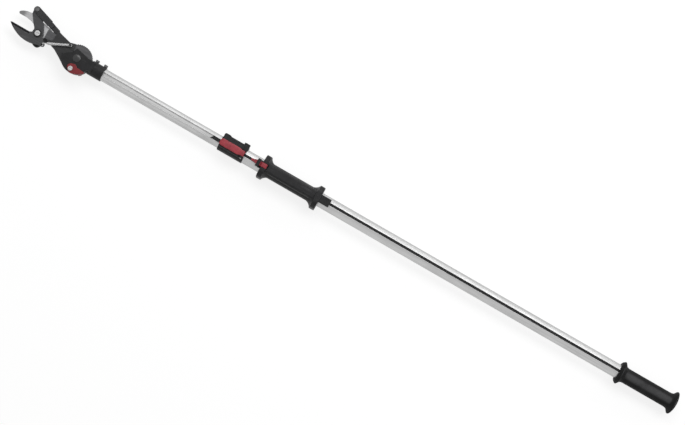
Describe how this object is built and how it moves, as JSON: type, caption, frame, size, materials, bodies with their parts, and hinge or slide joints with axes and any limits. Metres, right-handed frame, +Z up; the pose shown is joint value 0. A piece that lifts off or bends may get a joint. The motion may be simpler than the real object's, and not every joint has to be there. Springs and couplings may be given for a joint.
{
  "type": "telescopic tree pruner",
  "caption": "Long-reach bypass tree pruner: tilting head with a hooked jaw and return spring on telescoping poles, worked by a sliding grip that pulls an inner cable.",
  "frame": {"origin": "on the ground under the middle of the head-side flange of the sliding grip, which the tool lies on", "axes": "+X along the poles from head to end grip, +Y towards the lever side of the head, +Z up"},
  "size_m": [1.2278, 0.0696, 0.0401],
  "materials": {
    "silver_tube": "satin anodised",
    "black_plastic": "fine grained, moulded",
    "red_plastic": "satin, moulded",
    "black_rubber": "matt soft grip",
    "coated_steel": "dark non-stick coating",
    "bright_steel": "ground and polished",
    "plate_steel": "dull rolled plate",
    "black_metal": "black paint",
    "fastener_steel": "zinc plated"
  },
  "bodies": {
    "outer": {"outer_pole": "silver_tube", "end_plug": "black_plastic", "end_grip": "black_rubber", "clamp_body": "black_plastic", "clamp_screws": "fastener_steel", "clamp_shoe": "black_plastic", "clamp_pin": "fastener_steel"},
    "clamp_lever": {"clamp_lever": "red_plastic"},
    "grip": {"grip_sleeve": "black_plastic", "grip_carrier": "black_plastic", "latch_pin": "fastener_steel", "latch_spring": "fastener_steel"},
    "latch": {"grip_latch": "red_plastic"},
    "pole": {"inner_pole": "silver_tube", "inner_foot": "black_plastic", "pull_cable": "fastener_steel", "pole_socket": "black_plastic", "socket_screws": "black_metal", "hub_bolt": "fastener_steel", "hub_washer": "fastener_steel", "tilt_screw": "fastener_steel", "tilt_spring": "fastener_steel"},
    "strip": {"pull_strip": "black_plastic", "strip_dog": "fastener_steel"},
    "tilt_lever": {"tilt_lever": "red_plastic"},
    "roller": {"cable_roller": "black_plastic"},
    "head": {"index_plate": "plate_steel", "front_arm": "black_metal", "back_arm": "black_metal", "hook_blade": "bright_steel", "arm_rivets": "black_metal", "arm_spacers": "fastener_steel", "pivot_bolt": "fastener_steel", "pivot_nut": "fastener_steel", "spring_post": "black_metal", "return_spring": "fastener_steel"},
    "blade": {"cutting_blade": "coated_steel", "link_pin": "black_metal"},
    "link": {"pull_link": "black_metal"},
    "spring_hook": {"spring_hook": "fastener_steel"}
  },
  "joints": [
    {"name": "telescope", "type": "slide", "parent": "outer", "child": "pole", "axis": [-1, 0, 0], "range_m": [0, 0.6]},
    {"name": "clamp_lever_swing", "type": "hinge", "parent": "outer", "child": "clamp_lever", "pos_m": [-0.0388, 0, 0.0353], "axis": [0, 1, 0], "range_deg": [0, 100]},
    {"name": "grip_slide", "type": "slide", "parent": "outer", "child": "grip", "axis": [1, 0, 0], "range_m": [0, 0.019], "stiffness_N_per_m": 300, "springref_m": -0.02, "deforming": ["return_spring", "pull_cable"]},
    {"name": "latch_press", "type": "hinge", "parent": "grip", "child": "latch", "pos_m": [-0.0104, 0, 0.0355], "axis": [0, 1, 0], "range_deg": [0, 8], "stiffness_Nm_per_rad": 0.05, "springref_deg": -11.46, "deforming": ["latch_spring"]},
    {"name": "strip_slide", "type": "slide", "parent": "pole", "child": "strip", "axis": [1, 0, 0], "range_m": [0, 0.019]},
    {"name": "head_tilt", "type": "hinge", "parent": "pole", "child": "head", "pos_m": [-0.344, 0, 0.0195], "axis": [0, 0, 1], "range_deg": [-75, 0]},
    {"name": "tilt_lever_press", "type": "hinge", "parent": "pole", "child": "tilt_lever", "pos_m": [-0.3437, -0.0198, 0.0195], "axis": [0, 0, 1], "range_deg": [-8, 0], "stiffness_Nm_per_rad": 0.1, "springref_deg": 11.46},
    {"name": "roller_turn", "type": "hinge", "parent": "pole", "child": "roller", "pos_m": [-0.344, 0, 0.0195], "axis": [0, 0, 1], "range_deg": [0, 190]},
    {"name": "blade_close", "type": "hinge", "parent": "head", "child": "blade", "pos_m": [-0.4203, 0.0046, 0.0195], "axis": [0, 0, 1], "range_deg": [-38, 0]},
    {"name": "link_swing", "type": "hinge", "parent": "blade", "child": "link", "pos_m": [-0.4403, 0.0379, 0.0195], "axis": [0, 0, 1], "range_deg": [0, 27.61]},
    {"name": "spring_hook_pull", "type": "slide", "parent": "head", "child": "spring_hook", "axis": [-0.826, -0.5637, 0], "range_m": [0, 0.01242]}
  ],
  "couplings": [
    {"joint": "strip_slide", "follows": "grip_slide", "ratio": 1},
    {"joint": "roller_turn", "follows": "grip_slide", "rad_per_m": 169.49},
    {"joint": "blade_close", "follows": "grip_slide", "rad_per_m": -34.906},
    {"joint": "link_swing", "follows": "grip_slide", "rad_per_m": 25.362},
    {"joint": "spring_hook_pull", "follows": "grip_slide", "ratio": 0.6537}
  ]
}
